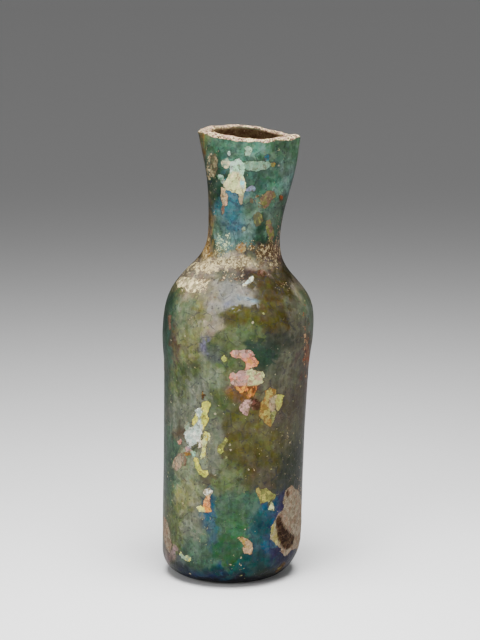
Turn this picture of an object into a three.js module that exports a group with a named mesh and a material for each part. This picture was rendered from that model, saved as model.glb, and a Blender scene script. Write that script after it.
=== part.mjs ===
// An ancient free-blown glass flask: a leaning cylindrical body on a rounded foot, a slanting shoulder, and
// a neck whose mouth was pressed into an almond. Millimetres, +Z up, with the front of the flask towards -Y.

import * as THREE from 'three';
import { ParametricGeometry } from 'three/addons/geometries/ParametricGeometry.js';

// The foot: a shallow kick inside a flat ring that the flask stands on, and a large rounded edge, which is
// rounder towards +X by a share of its height.
const KICK_HEIGHT = 1.6;
const FOOT_RING_INNER_DIAMETER = 19;
const FOOT_RING_OUTER_DIAMETER = 27;
const FOOT_EDGE_HEIGHT = 9.6;
const FOOT_DIAMETER = 45.4;
const FOOT_SKEW = 0.3;

// The body, which widens a little up to the shoulder's bulge. Each rise starts where the one before ends.
const BODY_RISE = 58.4;
const BODY_TOP_DIAMETER = 47.2;
const BULGE_RISE = 15;
const SHOULDER_DIAMETER = 49.3;

// The shoulder's slope where its round turns into the hollow under the neck.
const SLOPE_RISE = 18;
const SLOPE_DIAMETER = 34.8;
const SLOPE_ANGLE = 47;

// The neck: its narrowest place, and the tube that it was before the mouth was pressed.
const WAIST_RISE = 17;
const WAIST_DIAMETER = 23.4;
const NECK_RISE = 30;
const LIP_TUBE_DIAMETER = 25;

// Glass thickness.
const BODY_WALL = 2.0;
const FLOOR_THICKNESS = 3.2;
const LIP_THICKNESS = 2.2;

// The mouth seen from above. The glass of its two ends is pressed together, so the opening is shorter. Its
// long side is turned from the X axis by some degrees.
const MOUTH_WIDTH = 33.8;
const MOUTH_DEPTH = 19.2;
const OPENING_WIDTH = 25.2;
const OPENING_DEPTH = 15.0;
const OPENING_SHIFT = 0.5;
const MOUTH_POINTEDNESS = 0.55;
const MOUTH_TURN = -11;
const PRESS_START_BELOW_WAIST = 5;
const PRESS_GATHERING = 1.4;

// How far the flask leans towards +X, and how its shoulder and mouth slant. The lip also drops around two
// angles from +X, one at the back and one at the front.
const SHOULDER_LEAN = 2.5;
const WAIST_LEAN = 4.8;
const NECK_LEAN = 6.4;
const NECK_LEAN_RISE = 16;
const LIP_LEAN = 6.1;
const SHOULDER_SLANT = 1.5;
const SLANT_REACH = 20;
const LIP_TILT = 0.4;
const LIP_BOW = 0.2;
const LIP_DROPS = [
	{ depth: 1.3, angle: 50, narrowness: 4 },
	{ depth: 1.1, angle: - 65, narrowness: 2 } ];

// Uneven spots of hand-blown glass and of the worn lip.
const BODY_WAVE = 0.2;
const BODY_WAVE_LENGTH = 100;
const BODY_TWIST_LENGTH = 140;
const LIP_WEAR = 0.08;

// How full the wall's bends are, the facets round the flask, and the stations along each stretch of wall.
const BEND_FULLNESS = 0.45;
const SIDES = 64;
const KICK_STEPS = 3;
const FOOT_STEPS = 7;
const BODY_STEPS = 4;
const BULGE_STEPS = 3;
const ROUND_STEPS = 7;
const HOLLOW_STEPS = 6;
const NECK_STEPS = 6;
const LIP_STEPS = 6;

const { clamp, lerp, smoothstep, degToRad } = THREE.MathUtils;
const point = ( radius, height ) => new THREE.Vector2( radius, height );

const bodyTopHeight = FOOT_EDGE_HEIGHT + BODY_RISE;
const shoulderHeight = bodyTopHeight + BULGE_RISE;
const slopeHeight = shoulderHeight + SLOPE_RISE;
const waistHeight = slopeHeight + WAIST_RISE;
const lipHeight = waistHeight + NECK_RISE;

const kickTop = point( 0, KICK_HEIGHT );
const ringInner = point( FOOT_RING_INNER_DIAMETER / 2, 0 );
const ringOuter = point( FOOT_RING_OUTER_DIAMETER / 2, 0 );
const footEdge = point( FOOT_DIAMETER / 2, FOOT_EDGE_HEIGHT );
const lipMiddle = point( ( LIP_TUBE_DIAMETER - LIP_THICKNESS ) / 2, lipHeight - LIP_THICKNESS / 2 );

// A quarter of an ellipse that leaves its first point level and reaches its last point upright.
function quarterTurn( from, to ) {

	return new THREE.EllipseCurve( from.x, to.y, to.x - from.x, to.y - from.y, - Math.PI / 2, 0 );

}

// A smooth bend between two points with the wall's direction at each.
function bend( from, leaving, to, arriving ) {

	const reach = BEND_FULLNESS * from.distanceTo( to );
	return new THREE.CubicBezierCurve(
		from,
		from.clone().addScaledVector( leaving, reach ),
		to.clone().addScaledVector( arriving, - reach ),
		to );

}

// The outer wall from the foot's edge to the lip, as points with the wall's direction at each.
function wallSamples() {

	const bodyTop = point( BODY_TOP_DIAMETER / 2, bodyTopHeight );
	const shoulder = point( SHOULDER_DIAMETER / 2, shoulderHeight );
	const slope = point( SLOPE_DIAMETER / 2, slopeHeight );
	const waist = point( WAIST_DIAMETER / 2, waistHeight );
	const lip = point( LIP_TUBE_DIAMETER / 2, lipMiddle.y );

	const up = point( 0, 1 );
	const alongBody = bodyTop.clone().sub( footEdge ).normalize();
	const uphill = point( - Math.cos( degToRad( SLOPE_ANGLE ) ), Math.sin( degToRad( SLOPE_ANGLE ) ) );
	const samples = [ { at: footEdge, along: up } ];
	const follow = ( curve, steps ) => {

		for ( let i = 1; i <= steps; i ++ ) {

			samples.push( { at: curve.getPoint( i / steps ), along: curve.getTangent( i / steps ) } );

		}

	};

	follow( new THREE.LineCurve( footEdge, bodyTop ), BODY_STEPS );
	follow( bend( bodyTop, alongBody, shoulder, up ), BULGE_STEPS );
	follow( bend( shoulder, up, slope, uphill ), ROUND_STEPS );
	follow( bend( slope, uphill, waist, up ), HOLLOW_STEPS );
	follow( bend( waist, up, lip, up ), NECK_STEPS );
	return samples;

}

// The stations of the whole profile, from the middle of the underside, up the outside, over the lip and
// down the inside to the middle of the floor. inside is 0 on the outer face and 1 on the inner one.
function profileStations() {

	const stations = [];
	const add = ( p, inside ) => stations.push( { radius: p.x, height: p.y, inside } );
	const addCurve = ( curve, steps, inside ) => curve.getPoints( steps ).slice( 1 ).forEach(
		( p ) => add( p, inside ) );

	add( kickTop, 0 );
	addCurve( new THREE.QuadraticBezierCurve(
		kickTop, point( ringInner.x / 2, kickTop.y ), ringInner ), KICK_STEPS, 0 );
	add( ringOuter, 0 );
	addCurve( quarterTurn( ringOuter, footEdge ), FOOT_STEPS, 0 );
	const samples = wallSamples();
	samples.slice( 1 ).forEach( ( { at } ) => add( at, 0 ) );

	// The lip is a half round from the outer face to the inner one.
	for ( let i = 1; i < LIP_STEPS; i ++ ) {

		const fromMiddle = point( LIP_THICKNESS / 2, 0 ).rotateAround( point( 0, 0 ), Math.PI * i / LIP_STEPS );
		add( fromMiddle.add( lipMiddle ), i / LIP_STEPS );

	}

	// The inner face follows the outer one, a wall's thickness away.
	samples.reverse().forEach( ( { at, along } ) => {

		const wall = lerp( BODY_WALL, LIP_THICKNESS, smoothstep( at.y, waistHeight, lipMiddle.y ) );
		add( point( at.x - wall * along.y, at.y + wall * along.x ), 1 );

	} );

	const floorRim = point( ringOuter.x, FLOOR_THICKNESS );
	const floorTop = point( 0, KICK_HEIGHT + FLOOR_THICKNESS );
	const innerEdge = point( footEdge.x - BODY_WALL, footEdge.y );
	const floorTurn = quarterTurn( floorRim, innerEdge ).getPoints( FOOT_STEPS - 2 ).reverse();
	floorTurn.slice( 1 ).forEach( ( p ) => add( p, 1 ) );
	addCurve( new THREE.QuadraticBezierCurve(
		floorRim, point( ringInner.x / 2, floorTop.y ), floorTop ), KICK_STEPS, 1 );
	return stations;

}

// How far the flask's middle line lies towards +X at a height.
const leanOfHeight = new THREE.CubicInterpolant(
	[ 0, shoulderHeight, waistHeight, waistHeight + NECK_LEAN_RISE, lipHeight ],
	[ 0, SHOULDER_LEAN, WAIST_LEAN, NECK_LEAN, LIP_LEAN ], 1 );

// Where a station's ring passes at an angle round the flask, with 0 towards +X and a quarter turn at +Y.
function surfacePoint( { radius, height, inside }, angle, target ) {

	const across = Math.cos( angle );
	const deep = Math.sin( angle );
	const offAxis = smoothstep( radius, 0, WAIST_DIAMETER / 2 );

	// Pressing widens the mouth, flattens it and draws its end towards +X to a point.
	const pressStart = waistHeight - PRESS_START_BELOW_WAIST;
	const press = clamp( ( height - pressStart ) / ( lipHeight - pressStart ), 0, 1 ) ** PRESS_GATHERING;
	const bore = LIP_TUBE_DIAMETER - 2 * LIP_THICKNESS;
	const mouthWidth = lerp( MOUTH_WIDTH / LIP_TUBE_DIAMETER, OPENING_WIDTH / bore, inside );
	const mouthDepth = lerp( MOUTH_DEPTH / LIP_TUBE_DIAMETER, OPENING_DEPTH / bore, inside );
	const pointed = Math.sign( deep ) * Math.abs( deep ) ** ( 1 + MOUTH_POINTEDNESS * press * ( 1 + across ) );

	// The body is not quite round, and less so at its foot and neck.
	const uneven = smoothstep( height, 0, 3 * FOOT_EDGE_HEIGHT ) * ( 1 - press ) * offAxis;
	const wave = BODY_WAVE * uneven * Math.cos( 2 * Math.PI * height / BODY_WAVE_LENGTH )
		* Math.sin( 2 * angle + 2 * Math.PI * height / BODY_TWIST_LENGTH );

	// The foot's edge is skewed, the shoulder slants, and the lip is bowed, tilted and worn.
	const skew = FOOT_SKEW * height * offAxis * ( 1 - smoothstep( height, 0, 2 * FOOT_EDGE_HEIGHT ) );
	const fromSlope = Math.min( Math.abs( height - slopeHeight ) / SLANT_REACH, 1 );
	const slant = SHOULDER_SLANT * offAxis * Math.cos( fromSlope * Math.PI / 2 ) ** 2;
	const nearLip = smoothstep( height, lipHeight - 4 * LIP_THICKNESS, lipHeight );
	const dropping = LIP_DROPS.reduce( ( sum, drop ) => sum
		+ drop.depth * Math.max( Math.cos( angle - degToRad( drop.angle ) ), 0 ) ** drop.narrowness, 0 );
	const worn = LIP_WEAR * nearLip * ( Math.sin( 7 * angle + 1 ) + Math.sin( 11 * angle + 4 ) );

	const [ lean ] = leanOfHeight.evaluate( height );
	const along = press * inside * OPENING_SHIFT + ( radius * lerp( 1, mouthWidth, press ) + wave ) * across;
	const beside = ( radius * lerp( 1, mouthDepth, press ) + wave ) * pointed;
	const turn = press * degToRad( MOUTH_TURN );
	target.set(
		lean + along * Math.cos( turn ) - beside * Math.sin( turn ),
		along * Math.sin( turn ) + beside * Math.cos( turn ),
		height + ( skew - slant - press * LIP_TILT / 2 ) * across + press * ( LIP_BOW * deep ** 2 - dropping ) + worn );

}

function flaskGeometry() {

	const stations = profileStations();
	const rings = stations.length - 1;
	const geometry = new ParametricGeometry( ( u, v, target ) => surfacePoint(
		stations[ Math.round( v * rings ) ], ( u % 1 ) * 2 * Math.PI, target ), SIDES, rings );
	geometry.computeVertexNormals();
	return geometry;

}

// Olive glass under an iridescent weathering film.
const weatheredGlass = new THREE.MeshStandardMaterial( {
	color: 0x4e5a45, roughness: 0.35, metalness: 0.2 } );

// The flask stands with the middle of its box over the origin.
const flask = new THREE.Mesh( flaskGeometry(), weatheredGlass );
flask.name = 'flask';
flask.geometry.computeBoundingBox();
const middle = flask.geometry.boundingBox.getCenter( new THREE.Vector3() );
flask.geometry.translate( - middle.x, - middle.y, 0 );

const group = new THREE.Group();
group.add( flask );

export default group;
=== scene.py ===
"""An ancient free-blown glass flask under iridescent weathering and crust, standing on a pale floor."""
import math
import random

import bmesh
import bpy
import numpy as np
from mathutils import Euler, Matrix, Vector, noise


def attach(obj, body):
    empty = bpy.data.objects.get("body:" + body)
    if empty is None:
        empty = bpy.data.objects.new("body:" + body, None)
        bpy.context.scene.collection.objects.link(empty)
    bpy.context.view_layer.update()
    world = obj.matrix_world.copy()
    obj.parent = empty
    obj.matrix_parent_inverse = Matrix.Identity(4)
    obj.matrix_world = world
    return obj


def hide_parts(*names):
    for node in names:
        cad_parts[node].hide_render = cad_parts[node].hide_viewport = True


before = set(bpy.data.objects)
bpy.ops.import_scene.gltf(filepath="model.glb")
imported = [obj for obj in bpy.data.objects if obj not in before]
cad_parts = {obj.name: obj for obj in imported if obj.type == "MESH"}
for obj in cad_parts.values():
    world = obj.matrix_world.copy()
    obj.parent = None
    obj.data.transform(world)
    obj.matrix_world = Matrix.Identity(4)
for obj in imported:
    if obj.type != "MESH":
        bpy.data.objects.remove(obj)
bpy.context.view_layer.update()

# The picture's frame. The photograph looks down on the flask by 14 degrees. The distance of 1.4 m is a guess
# from its flat perspective. One pixel is 0.331 mm at the foot's middle, which lies at the pixel FOOT_PIXEL.
MM = 0.001
PICTURE = (480, 640)
PIXEL = 0.331 * MM
FOOT_PIXEL = (231, 569.5)
FOOT_MIDDLE = Vector((-2.2 * MM, 0, 0))
CAMERA_PITCH = math.radians(14)
CAMERA_DISTANCE = 1.4
SENSOR = 36
CAMERA_REACH = 20

to_right = Vector((1, 0, 0))
to_up = Vector((0, math.sin(CAMERA_PITCH), math.cos(CAMERA_PITCH)))
away = Vector((0, math.cos(CAMERA_PITCH), -math.sin(CAMERA_PITCH)))
foot_right = (FOOT_PIXEL[0] - PICTURE[0] / 2) * PIXEL
foot_up = (PICTURE[1] / 2 - FOOT_PIXEL[1]) * PIXEL

camera_data = bpy.data.cameras.new("camera")
camera_data.sensor_width = SENSOR
camera_data.lens = SENSOR * CAMERA_DISTANCE / PIXEL / PICTURE[1]
camera_data.clip_end = CAMERA_REACH
camera = bpy.data.objects.new("camera", camera_data)
camera.location = FOOT_MIDDLE - to_right * foot_right - to_up * foot_up - away * CAMERA_DISTANCE
camera.rotation_euler = Euler((math.pi / 2 - CAMERA_PITCH, 0, 0))
bpy.context.collection.objects.link(camera)
bpy.context.scene.camera = camera

# The floor: a wide sheet of plain pale board.
FLOOR_SIZE = 8.0
FLOOR_COLOUR = (0.86, 0.86, 0.86, 1)
FLOOR_ROUGHNESS = 0.42
FLOOR_SHINE = 0.4

floor_shape = bmesh.new()
bmesh.ops.create_grid(floor_shape, x_segments=1, y_segments=1, size=FLOOR_SIZE / 2)
floor_mesh = bpy.data.meshes.new("floor")
floor_shape.to_mesh(floor_mesh)
floor_shape.free()
board = bpy.data.materials.new("pale_board")
board.use_nodes = True
board_shader = board.node_tree.nodes["Principled BSDF"]
board_shader.inputs["Base Color"].default_value = FLOOR_COLOUR
board_shader.inputs["Roughness"].default_value = FLOOR_ROUGHNESS
board_shader.inputs["Specular IOR Level"].default_value = FLOOR_SHINE
floor_mesh.materials.append(board)
floor = bpy.data.objects.new("floor", floor_mesh)
bpy.context.collection.objects.link(floor)

# The studio light: a soft box close above the front, a wide one on the left, a weaker one on the right, and a
# dim even room, so that the floor darkens towards the back. Each box has its place, the point that it faces,
# its size in metres, its spread in degrees and its power.
SOFT_BOXES = (
    ("top", (0.0, -0.14, 0.52), (0.0, -0.14, 0.0), 0.34, 100, 3.6),
    ("left", (-0.5, -0.66, 0.36), (0.0, 0.0, 0.06), 0.4, 120, 1.7),
    ("right", (0.62, -0.6, 0.3), (0.0, 0.0, 0.06), 0.3, 120, 0.5),
)
ROOM_COLOUR = (1.0, 1.0, 1.0, 1)
ROOM_STRENGTH = 0.165

for name, place, target, size, spread, power in SOFT_BOXES:
    light_data = bpy.data.lights.new(name, "AREA")
    light_data.shape = "SQUARE"
    light_data.size = size
    light_data.spread = math.radians(spread)
    light_data.energy = power
    light = bpy.data.objects.new(name, light_data)
    light.location = place
    light.rotation_euler = (Vector(target) - Vector(place)).to_track_quat("-Z", "Y").to_euler()
    bpy.context.collection.objects.link(light)

room = bpy.data.worlds.new("room")
bpy.context.scene.world = room
room.use_nodes = True
room.node_tree.nodes["Background"].inputs["Color"].default_value = ROOM_COLOUR
room.node_tree.nodes["Background"].inputs["Strength"].default_value = ROOM_STRENGTH

# The flask is one bubble of blown glass, about 2 mm thick: a body on a rounded foot with a shallow kick, a
# slanting shoulder, and a neck pressed flat at the mouth. The wall is spun from its profile, in mm, and then
# leaned, slanted and pressed. Its places are pairs of a radius and a height, and LEAN_PLACES are pairs of a
# height and the middle line's lean. A lip's drop has its depth, its direction and how narrow it is.
KICK_HEIGHT = 1.6
FOOT_RING_INNER_RADIUS = 9.5
FOOT_RING_OUTER_RADIUS = 13.5
FOOT_RADIUS = 22.7
FOOT_EDGE_HEIGHT = 9.6
FOOT_SKEW = 0.3
BODY_TOP = (23.6, 68)
SHOULDER = (24.65, 83)
SLOPE = (17.4, 101)
SLOPE_ANGLE = math.radians(47)
WAIST = (11.7, 118)
LIP_TUBE_RADIUS = 12.5
LIP_HEIGHT = 148
BODY_WALL = 2.0
FLOOR_THICKNESS = 3.2
LIP_THICKNESS = 2.2
MOUTH_HALF = (16.9, 9.6)
OPENING_HALF = (12.6, 7.5)
OPENING_SHIFT = 0.5
MOUTH_POINTEDNESS = 0.55
MOUTH_TURN = math.radians(-11)
PRESS_START = 113
PRESS_GATHERING = 1.4
LEAN_PLACES = ((0, 0), (83, 2.5), (118, 4.8), (134, 6.4), (148, 6.1))
SHOULDER_SLANT = 1.5
SLANT_REACH = 20
LIP_TILT = 0.4
LIP_BOW = 0.2
LIP_DROPS = ((1.3, math.radians(50), 4), (1.1, math.radians(-65), 2))
BODY_WAVE = 0.2
BODY_WAVE_LENGTH = 100
BODY_TWIST_LENGTH = 140
LIP_WEAR = 0.08
LIP_WEAR_WAVES = ((7, 1), (11, 4))
BEND_FULLNESS = 0.45
SIDES = 256
OUTER_STEP = 0.68
LIP_STEP = 0.35
LIP_FINE_DEPTH = 5
LIP_ROUND_STEPS = 12
INNER_STEP = 4.0
INNER_FINE_HEIGHTS = (128, 147)
POLE_RADIUS = 1e-4
WELD = 1e-3


def smoothstep(value, low, high):
    """A smooth step from 0 at low to 1 at high."""
    share = min(max((value - low) / (high - low), 0), 1)
    return share * share * (3 - 2 * share)


def lerp(start, end, share):
    return start + (end - start) * share


def quarter_turn(start, end, count=24):
    """A quarter of an ellipse that leaves its first point level and reaches its last point upright."""
    turns = [math.pi / 2 * i / count for i in range(count + 1)]
    return [(lerp(start[0], end[0], math.sin(t)), lerp(start[1], end[1], 1 - math.cos(t))) for t in turns]


def bezier(a, b, c, d, count=40):
    """Points on a cubic curve, from a to d."""
    points = []
    for i in range(count + 1):
        t = i / count
        shares = ((1 - t) ** 3, 3 * t * (1 - t) ** 2, 3 * t * t * (1 - t), t ** 3)
        points.append(tuple(sum(s * p[k] for s, p in zip(shares, (a, b, c, d))) for k in (0, 1)))
    return points


def bend(start, leaving, end, arriving):
    """A smooth bend between two points with the wall's direction at each."""
    reach = BEND_FULLNESS * math.dist(start, end)
    after = (start[0] + reach * leaving[0], start[1] + reach * leaving[1])
    before = (end[0] - reach * arriving[0], end[1] - reach * arriving[1])
    return bezier(start, after, before, end)


def evenly(points, step_at):
    """The same outline with its points step_at(height) mm apart."""
    kept, gone = [points[0]], 0.0
    for start, end in zip(points, points[1:]):
        length = math.dist(start, end)
        along = step_at(kept[-1][1]) - gone
        while along <= length:
            share = along / length
            kept.append((lerp(start[0], end[0], share), lerp(start[1], end[1], share)))
            along += step_at(kept[-1][1])
        gone = length - (along - step_at(kept[-1][1]))
    if math.dist(kept[-1], points[-1]) > 0.3 * step_at(points[-1][1]):
        kept.append(points[-1])
    else:
        kept[-1] = points[-1]
    return kept


up = (0, 1)
foot_edge = (FOOT_RADIUS, FOOT_EDGE_HEIGHT)
body_length = math.dist(foot_edge, BODY_TOP)
along_body = ((BODY_TOP[0] - foot_edge[0]) / body_length, (BODY_TOP[1] - foot_edge[1]) / body_length)
uphill = (-math.cos(SLOPE_ANGLE), math.sin(SLOPE_ANGLE))
lip_middle = (LIP_TUBE_RADIUS - LIP_THICKNESS / 2, LIP_HEIGHT - LIP_THICKNESS / 2)
lip_outside = (LIP_TUBE_RADIUS, lip_middle[1])

wall = [foot_edge]
wall += bend(BODY_TOP, along_body, SHOULDER, up)
wall += bend(SHOULDER, up, SLOPE, uphill)[1:]
wall += bend(SLOPE, uphill, WAIST, up)[1:]
wall += bend(WAIST, up, lip_outside, up)[1:]


def offset_inwards(points):
    """The wall's inner face, a wall's thickness away from the outer one."""
    inner = []
    for before, here, after in zip([points[0]] + points, points, points[1:] + [points[-1]]):
        length = math.dist(before, after)
        along = ((after[0] - before[0]) / length, (after[1] - before[1]) / length)
        thick = lerp(BODY_WALL, LIP_THICKNESS, smoothstep(here[1], WAIST[1], lip_middle[1]))
        inner.append((here[0] - thick * along[1], here[1] + thick * along[0]))
    return inner


ring_inner = (FOOT_RING_INNER_RADIUS, 0)
ring_outer = (FOOT_RING_OUTER_RADIUS, 0)
kick_top = (0, KICK_HEIGHT)
kick_shoulder = (FOOT_RING_INNER_RADIUS / 2, KICK_HEIGHT)
underside = bezier(kick_top, kick_shoulder, kick_shoulder, ring_inner) + [ring_outer]
outside = underside + quarter_turn(ring_outer, foot_edge)[1:] + wall[1:]
lip_round = [
    (lip_middle[0] + LIP_THICKNESS / 2 * math.cos(t), lip_middle[1] + LIP_THICKNESS / 2 * math.sin(t))
    for t in (math.pi * i / LIP_ROUND_STEPS for i in range(1, LIP_ROUND_STEPS))
]
inner_edge = (FOOT_RADIUS - BODY_WALL, FOOT_EDGE_HEIGHT)
floor_rim = (FOOT_RING_OUTER_RADIUS, FLOOR_THICKNESS)
floor_top = (0, KICK_HEIGHT + FLOOR_THICKNESS)
inside_wall = list(reversed(offset_inwards(wall)))[:-1] + list(reversed(quarter_turn(floor_rim, inner_edge)))
inside_wall.append(floor_top)


def outer_step(height):
    return LIP_STEP if height > LIP_HEIGHT - LIP_FINE_DEPTH else OUTER_STEP


def inner_step(height):
    return lerp(INNER_STEP, LIP_STEP, smoothstep(height, *INNER_FINE_HEIGHTS))


# The whole profile. Each point says how far it is on the inside: 0 outside, 1 inside, and between on the lip.
profile = [(p, 0.0) for p in evenly(outside, outer_step)]
profile += [(p, (i + 1) / LIP_ROUND_STEPS) for i, p in enumerate(lip_round)]
profile += [(p, 1.0) for p in evenly(inside_wall, inner_step)]

flask_shape = bmesh.new()
inside_share = flask_shape.verts.layers.float.new("inside_share")
level = flask_shape.verts.layers.float.new("level")
last = None
for (radius, height), share in profile:
    vertex = flask_shape.verts.new((max(radius, POLE_RADIUS), 0, height))
    vertex[inside_share] = share
    vertex[level] = height
    if last:
        flask_shape.edges.new((last, vertex))
    last = vertex
bmesh.ops.spin(
    flask_shape, geom=flask_shape.verts[:] + flask_shape.edges[:], cent=(0, 0, 0), axis=(0, 0, 1),
    angle=2 * math.pi, steps=SIDES, use_merge=True)
bmesh.ops.remove_doubles(flask_shape, verts=flask_shape.verts[:], dist=WELD)
bmesh.ops.recalc_face_normals(flask_shape, faces=flask_shape.faces[:])


def lean_at(height):
    """How far the flask's middle line lies towards +X at a height."""
    heights, leans = zip(*LEAN_PLACES)
    slopes = [(leans[i + 1] - leans[i]) / (heights[i + 1] - heights[i]) for i in range(len(heights) - 1)]
    turns = [slopes[0]] + [(a + b) / 2 for a, b in zip(slopes, slopes[1:])] + [slopes[-1]]
    i = max(k for k in range(len(slopes)) if heights[k] <= max(height, 0))
    span = heights[i + 1] - heights[i]
    t = (height - heights[i]) / span
    return (
        leans[i] * (2 * t ** 3 - 3 * t ** 2 + 1) + leans[i + 1] * (3 * t ** 2 - 2 * t ** 3)
        + span * (turns[i] * (t ** 3 - 2 * t ** 2 + t) + turns[i + 1] * (t ** 3 - t ** 2)))


def shaped(radius, height, inside, angle):
    """Where a point of the spun wall lies once the flask leans, slants and has its mouth pressed."""
    across, deep = math.cos(angle), math.sin(angle)
    off_axis = smoothstep(radius, 0, WAIST[0])
    press = min(max((height - PRESS_START) / (LIP_HEIGHT - PRESS_START), 0), 1) ** PRESS_GATHERING
    bore = LIP_TUBE_RADIUS - LIP_THICKNESS
    wide = lerp(1, lerp(MOUTH_HALF[0] / LIP_TUBE_RADIUS, OPENING_HALF[0] / bore, inside), press)
    flat = lerp(1, lerp(MOUTH_HALF[1] / LIP_TUBE_RADIUS, OPENING_HALF[1] / bore, inside), press)
    pointed = math.copysign(abs(deep) ** (1 + MOUTH_POINTEDNESS * press * (1 + across)), deep)
    uneven = smoothstep(height, 0, 3 * FOOT_EDGE_HEIGHT) * (1 - press) * off_axis
    wave = BODY_WAVE * uneven * math.cos(2 * math.pi * height / BODY_WAVE_LENGTH)
    wave *= math.sin(2 * angle + 2 * math.pi * height / BODY_TWIST_LENGTH)
    skew = FOOT_SKEW * height * off_axis * (1 - smoothstep(height, 0, 2 * FOOT_EDGE_HEIGHT))
    from_slope = min(abs(height - SLOPE[1]) / SLANT_REACH, 1)
    slant = SHOULDER_SLANT * off_axis * math.cos(from_slope * math.pi / 2) ** 2
    near_lip = smoothstep(height, LIP_HEIGHT - 4 * LIP_THICKNESS, LIP_HEIGHT)
    worn = LIP_WEAR * near_lip * sum(math.sin(waves * angle + start) for waves, start in LIP_WEAR_WAVES)
    dropping = sum(most * max(math.cos(angle - place), 0) ** narrow for most, place, narrow in LIP_DROPS)
    along = press * inside * OPENING_SHIFT + (radius * wide + wave) * across
    beside = (radius * flat + wave) * pointed
    turn = press * MOUTH_TURN
    lift = (skew - slant - press * LIP_TILT / 2) * across + press * (LIP_BOW * deep ** 2 - dropping)
    return (
        lean_at(height) + along * math.cos(turn) - beside * math.sin(turn),
        along * math.sin(turn) + beside * math.cos(turn),
        height + lift + worn)


for vertex in flask_shape.verts:
    x, y, height = vertex.co
    vertex.co = shaped(math.hypot(x, y), height, vertex[inside_share], math.atan2(y, x))
lows = [min(v.co[k] for v in flask_shape.verts) for k in (0, 1)]
highs = [max(v.co[k] for v in flask_shape.verts) for k in (0, 1)]
centring = Vector((-(lows[0] + highs[0]) / 2, -(lows[1] + highs[1]) / 2, 0))
for vertex in flask_shape.verts:
    vertex.co += centring
flask_shape.verts.index_update()
flask_shape.normal_update()

# Centuries in the ground have laid a film on the glass that shines in thin, changing colours, and a crust
# that flakes off it in ragged leaves. The colours are a small palette. Their places are read in the picture's
# pixels, so each leaf and each tone lies where the photograph shows it, on the wall that faces the camera.
PALETTE = {
    "moss": "4A7660", "pine": "3B5B48", "deep_pine": "2A4433", "sea": "35696F", "lagoon": "34606A",
    "laurel": "46644B", "thyme": "506955", "verdigris": "5F7D73", "pale_jade": "6E8C78",
    "grass": "375A3C", "green": "32643C", "fern": "5A663E", "lichen": "6E735F", "moth": "5F5F4B",
    "olive": "58552B", "dark_olive": "4A4322", "khaki": "7A7B4C", "sage": "75805F", "grey_sage": "7C8B74",
    "mist": "869A86", "ash": "96968C", "haze": "788C96", "sand": "948B70", "stone": "8C8373",
    "clay": "786455", "umber": "4D3B2A", "bark": "382A20", "russet": "694B3E", "bronze": "6E502D",
    "earth": "5E4F3A", "drab": "554D3A", "bog": "3A3E32", "slate": "4B5154", "steel": "66757B",
    "dusk": "69697D", "midnight": "23325A", "deep_teal": "1A4A4C", "petrol": "285066", "plum": "2D2A4B",
    "navy": "20305C", "cobalt": "27427A", "lilac": "8487A0", "teal": "1F6159", "ink": "22212B",
    "honey": "8A6A35", "amber": "C08A45", "rust": "8A4A30", "coral": "C98C74", "peach": "CC9D70",
    "cream": "D6C9A2", "ivory": "D2D2C6", "silver": "A9B8AE", "mint": "9DC0A4", "aqua": "7CC6CC",
    "lemon": "C9C45C", "lime": "A9AC58", "pale_lime": "B9BE8E", "rose_beige": "AC9379", "rosy": "B0938A",
    "beige": "A8987C", "ochre": "8C7440", "straw": "A09A5C", "rosewood": "84705F",
}

# Tones of the film: a colour, the pixel it is centred on, and how far it reaches across and up.
NECK_TONES = (
    # The narrow honey streaks down the left edge of the neck are painted light shining through the glass,
    # over the film's colour.
    ("moss", 235, 148, 22, 9), ("pine", 215, 150, 8, 12), ("honey", 201, 152, 2, 14),
    ("fern", 208, 140, 4, 10), ("thyme", 207, 165, 3, 12), ("laurel", 285, 150, 14, 16),
    ("verdigris", 290, 176, 7, 20), ("pine", 262, 178, 13, 12), ("deep_pine", 212, 186, 5, 20),
    ("moss", 276, 186, 7, 10), ("lagoon", 236, 214, 11, 18), ("sea", 221, 212, 7, 12),
    ("thyme", 250, 212, 7, 14), ("thyme", 216, 228, 6, 12), ("thyme", 276, 215, 8, 15),
    ("verdigris", 244, 232, 10, 8), ("deep_pine", 262, 232, 8, 10), ("honey", 208, 226, 5, 22),
    ("deep_pine", 213, 242, 3, 9), ("thyme", 283, 225, 3, 14),
)
SHOULDER_TONES = (
    ("verdigris", 224, 245, 8, 8), ("moth", 250, 250, 9, 6), ("umber", 266, 252, 12, 8),
    ("bark", 272, 256, 9, 5), ("honey", 205, 252, 6, 9), ("clay", 283, 250, 4, 9),
    ("beige", 240, 262, 28, 6), ("beige", 206, 268, 10, 8), ("earth", 274, 264, 11, 5),
    ("beige", 195, 285, 9, 10), ("khaki", 174, 285, 5, 9), ("sand", 210, 292, 10, 15),
    # The pale ash, stone, lilac and haze tones low across the front of the shoulder are the film's colour
    # with a painted reflection of the top light.
    ("moth", 222, 277, 12, 5), ("bark", 252, 271, 16, 3), ("ash", 230, 290, 14, 8),
    ("stone", 246, 288, 9, 5), ("dark_olive", 266, 292, 9, 9), ("dark_olive", 264, 279, 10, 6),
    ("dark_olive", 280, 286, 11, 12), ("sand", 298, 285, 5, 7), ("sage", 306, 302, 5, 12),
    ("ash", 238, 303, 9, 4), ("lilac", 229, 303, 5, 3), ("haze", 246, 298, 8, 3), ("ash", 214, 306, 8, 8),
)
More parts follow.
